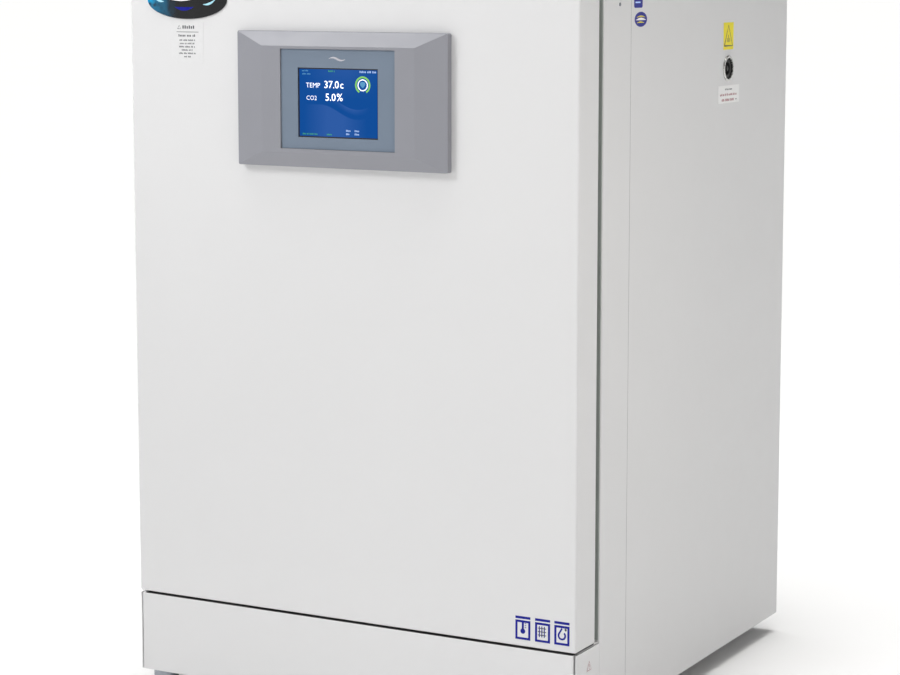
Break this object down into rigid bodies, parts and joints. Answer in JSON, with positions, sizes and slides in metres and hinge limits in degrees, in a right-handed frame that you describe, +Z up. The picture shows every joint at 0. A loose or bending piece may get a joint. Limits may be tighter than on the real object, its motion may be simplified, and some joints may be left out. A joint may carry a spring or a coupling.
{
  "type": "laboratory incubator",
  "caption": "Upright CO2 laboratory incubator: white enamelled cabinet, hinged door with a touch-screen panel, inner glass door, steel chamber with shelves.",
  "frame": {"origin": "on the floor under the middle of the object's bounding box", "axes": "+Z up, -Y out of the front door, +X towards the hinge side"},
  "size_m": [0.663, 0.737, 1.0145],
  "materials": {
    "white_enamel": "satin",
    "stainless_steel": "satin",
    "grey_breaker": "matte",
    "white_plastic": "matte",
    "silicone": "matte",
    "grey_rubber": "matte",
    "black_silicone": "matte",
    "mineral_wool": "matte",
    "heater_mat": "matte",
    "motor_steel": "satin",
    "zinc": "satin",
    "filter_paper": "matte",
    "sensor_white": "matte",
    "circuit_board": "satin",
    "brass_valve": "satin",
    "black_plastic": "matte",
    "sleeve_plastic": "matte",
    "wheel_plastic": "satin",
    "label_film": "satin",
    "panel_grey": "satin",
    "overlay_film": "satin",
    "lcd": "gloss",
    "badge_film": "gloss",
    "clear_glass": "polished",
    "turned_steel": "satin"
  },
  "bodies": {
    "cabinet": {"base_pan": "white_enamel", "base_cover": "white_enamel", "base_cheeks": "white_enamel", "front_frame": "white_enamel", "left_side_panel": "white_enamel", "right_side_panel": "white_enamel", "top_panel": "white_enamel", "rear_panel": "white_enamel", "thermal_break": "grey_breaker", "inner_gasket": "silicone", "chamber_liner": "stainless_steel", "chamber_heaters": "heater_mat", "insulation": "mineral_wool", "shelf_uprights": "stainless_steel", "shelf_rails": "stainless_steel", "shelf_1": "stainless_steel", "shelf_2": "stainless_steel", "shelf_3": "stainless_steel", "shelf_4": "stainless_steel", "humidity_pan": "stainless_steel", "air_ducts": "stainless_steel", "blower_housing": "stainless_steel", "blower_motor": "motor_steel", "hepa_filter": "filter_paper", "chamber_sensors": "sensor_white", "control_electronics": "circuit_board", "gas_valve": "brass_valve", "gas_inlet": "brass_valve", "power_entry": "black_plastic", "rear_spacers": "grey_rubber", "cabinet_screws": "zinc", "port_sleeve": "sleeve_plastic", "port_collar": "stainless_steel", "side_labels": "label_film", "outer_hinges": "white_enamel", "glass_door_brackets": "stainless_steel"},
    "outer_door": {"door_skin": "white_enamel", "door_liner": "white_plastic", "door_insulation": "mineral_wool", "door_gasket": "grey_rubber", "door_handle": "black_plastic", "door_bushes": "zinc", "display_bezel": "panel_grey", "display_overlay": "overlay_film", "display_screen": "lcd", "display_board": "circuit_board", "door_badge": "badge_film", "door_labels": "label_film"},
    "inner_door": {"glass_door": "clear_glass", "glass_fittings": "stainless_steel"},
    "latch": {"latch_lever": "turned_steel", "latch_knob": "black_plastic"},
    "blower_rotor": {"blower_wheel": "wheel_plastic", "blower_shaft": "zinc"},
    "power_switch": {"power_rocker": "black_plastic"},
    "port_plug": {"port_stopper": "black_silicone"},
    "foot_front_left": {"foot_front_left": "zinc"},
    "foot_front_right": {"foot_front_right": "zinc"},
    "foot_rear_left": {"foot_rear_left": "zinc"},
    "foot_rear_right": {"foot_rear_right": "zinc"}
  },
  "joints": [
    {"name": "outer_door_hinge", "type": "hinge", "parent": "cabinet", "child": "outer_door", "pos_m": [0.316, -0.3095, 0.572], "axis": [0, 0, 1], "range_deg": [0, 110]},
    {"name": "inner_door_hinge", "type": "hinge", "parent": "cabinet", "child": "inner_door", "pos_m": [0.2765, -0.2915, 0.556], "axis": [0, 0, 1], "range_deg": [0, 99]},
    {"name": "latch_turn", "type": "hinge", "parent": "inner_door", "child": "latch", "pos_m": [-0.246, -0.2995, 0.556], "axis": [0, -1, 0], "range_deg": [0, 90]},
    {"name": "blower_spin", "type": "hinge", "parent": "cabinet", "child": "blower_rotor", "pos_m": [0, -0.0095, 0.883], "axis": [0, 0, 1], "continuous": true},
    {"name": "power_rocker_tilt", "type": "hinge", "parent": "cabinet", "child": "power_switch", "pos_m": [-0.205, 0.3395, 0.092], "axis": [1, 0, 0], "range_deg": [0, 16]},
    {"name": "port_plug_pull", "type": "slide", "parent": "cabinet", "child": "port_plug", "axis": [1, 0, 0], "range_m": [0, 0.066]},
    {"name": "foot_front_left_screw", "type": "slide", "parent": "cabinet", "child": "foot_front_left", "axis": [0, 0, -1], "range_m": [0, 0.012]},
    {"name": "foot_front_right_screw", "type": "slide", "parent": "cabinet", "child": "foot_front_right", "axis": [0, 0, -1], "range_m": [0, 0.012]},
    {"name": "foot_rear_left_screw", "type": "slide", "parent": "cabinet", "child": "foot_rear_left", "axis": [0, 0, -1], "range_m": [0, 0.012]},
    {"name": "foot_rear_right_screw", "type": "slide", "parent": "cabinet", "child": "foot_rear_right", "axis": [0, 0, -1], "range_m": [0, 0.012]}
  ],
  "couplings": [
    {"joint": "inner_door_hinge", "follows": "outer_door_hinge", "ratio": 0.9}
  ]
}
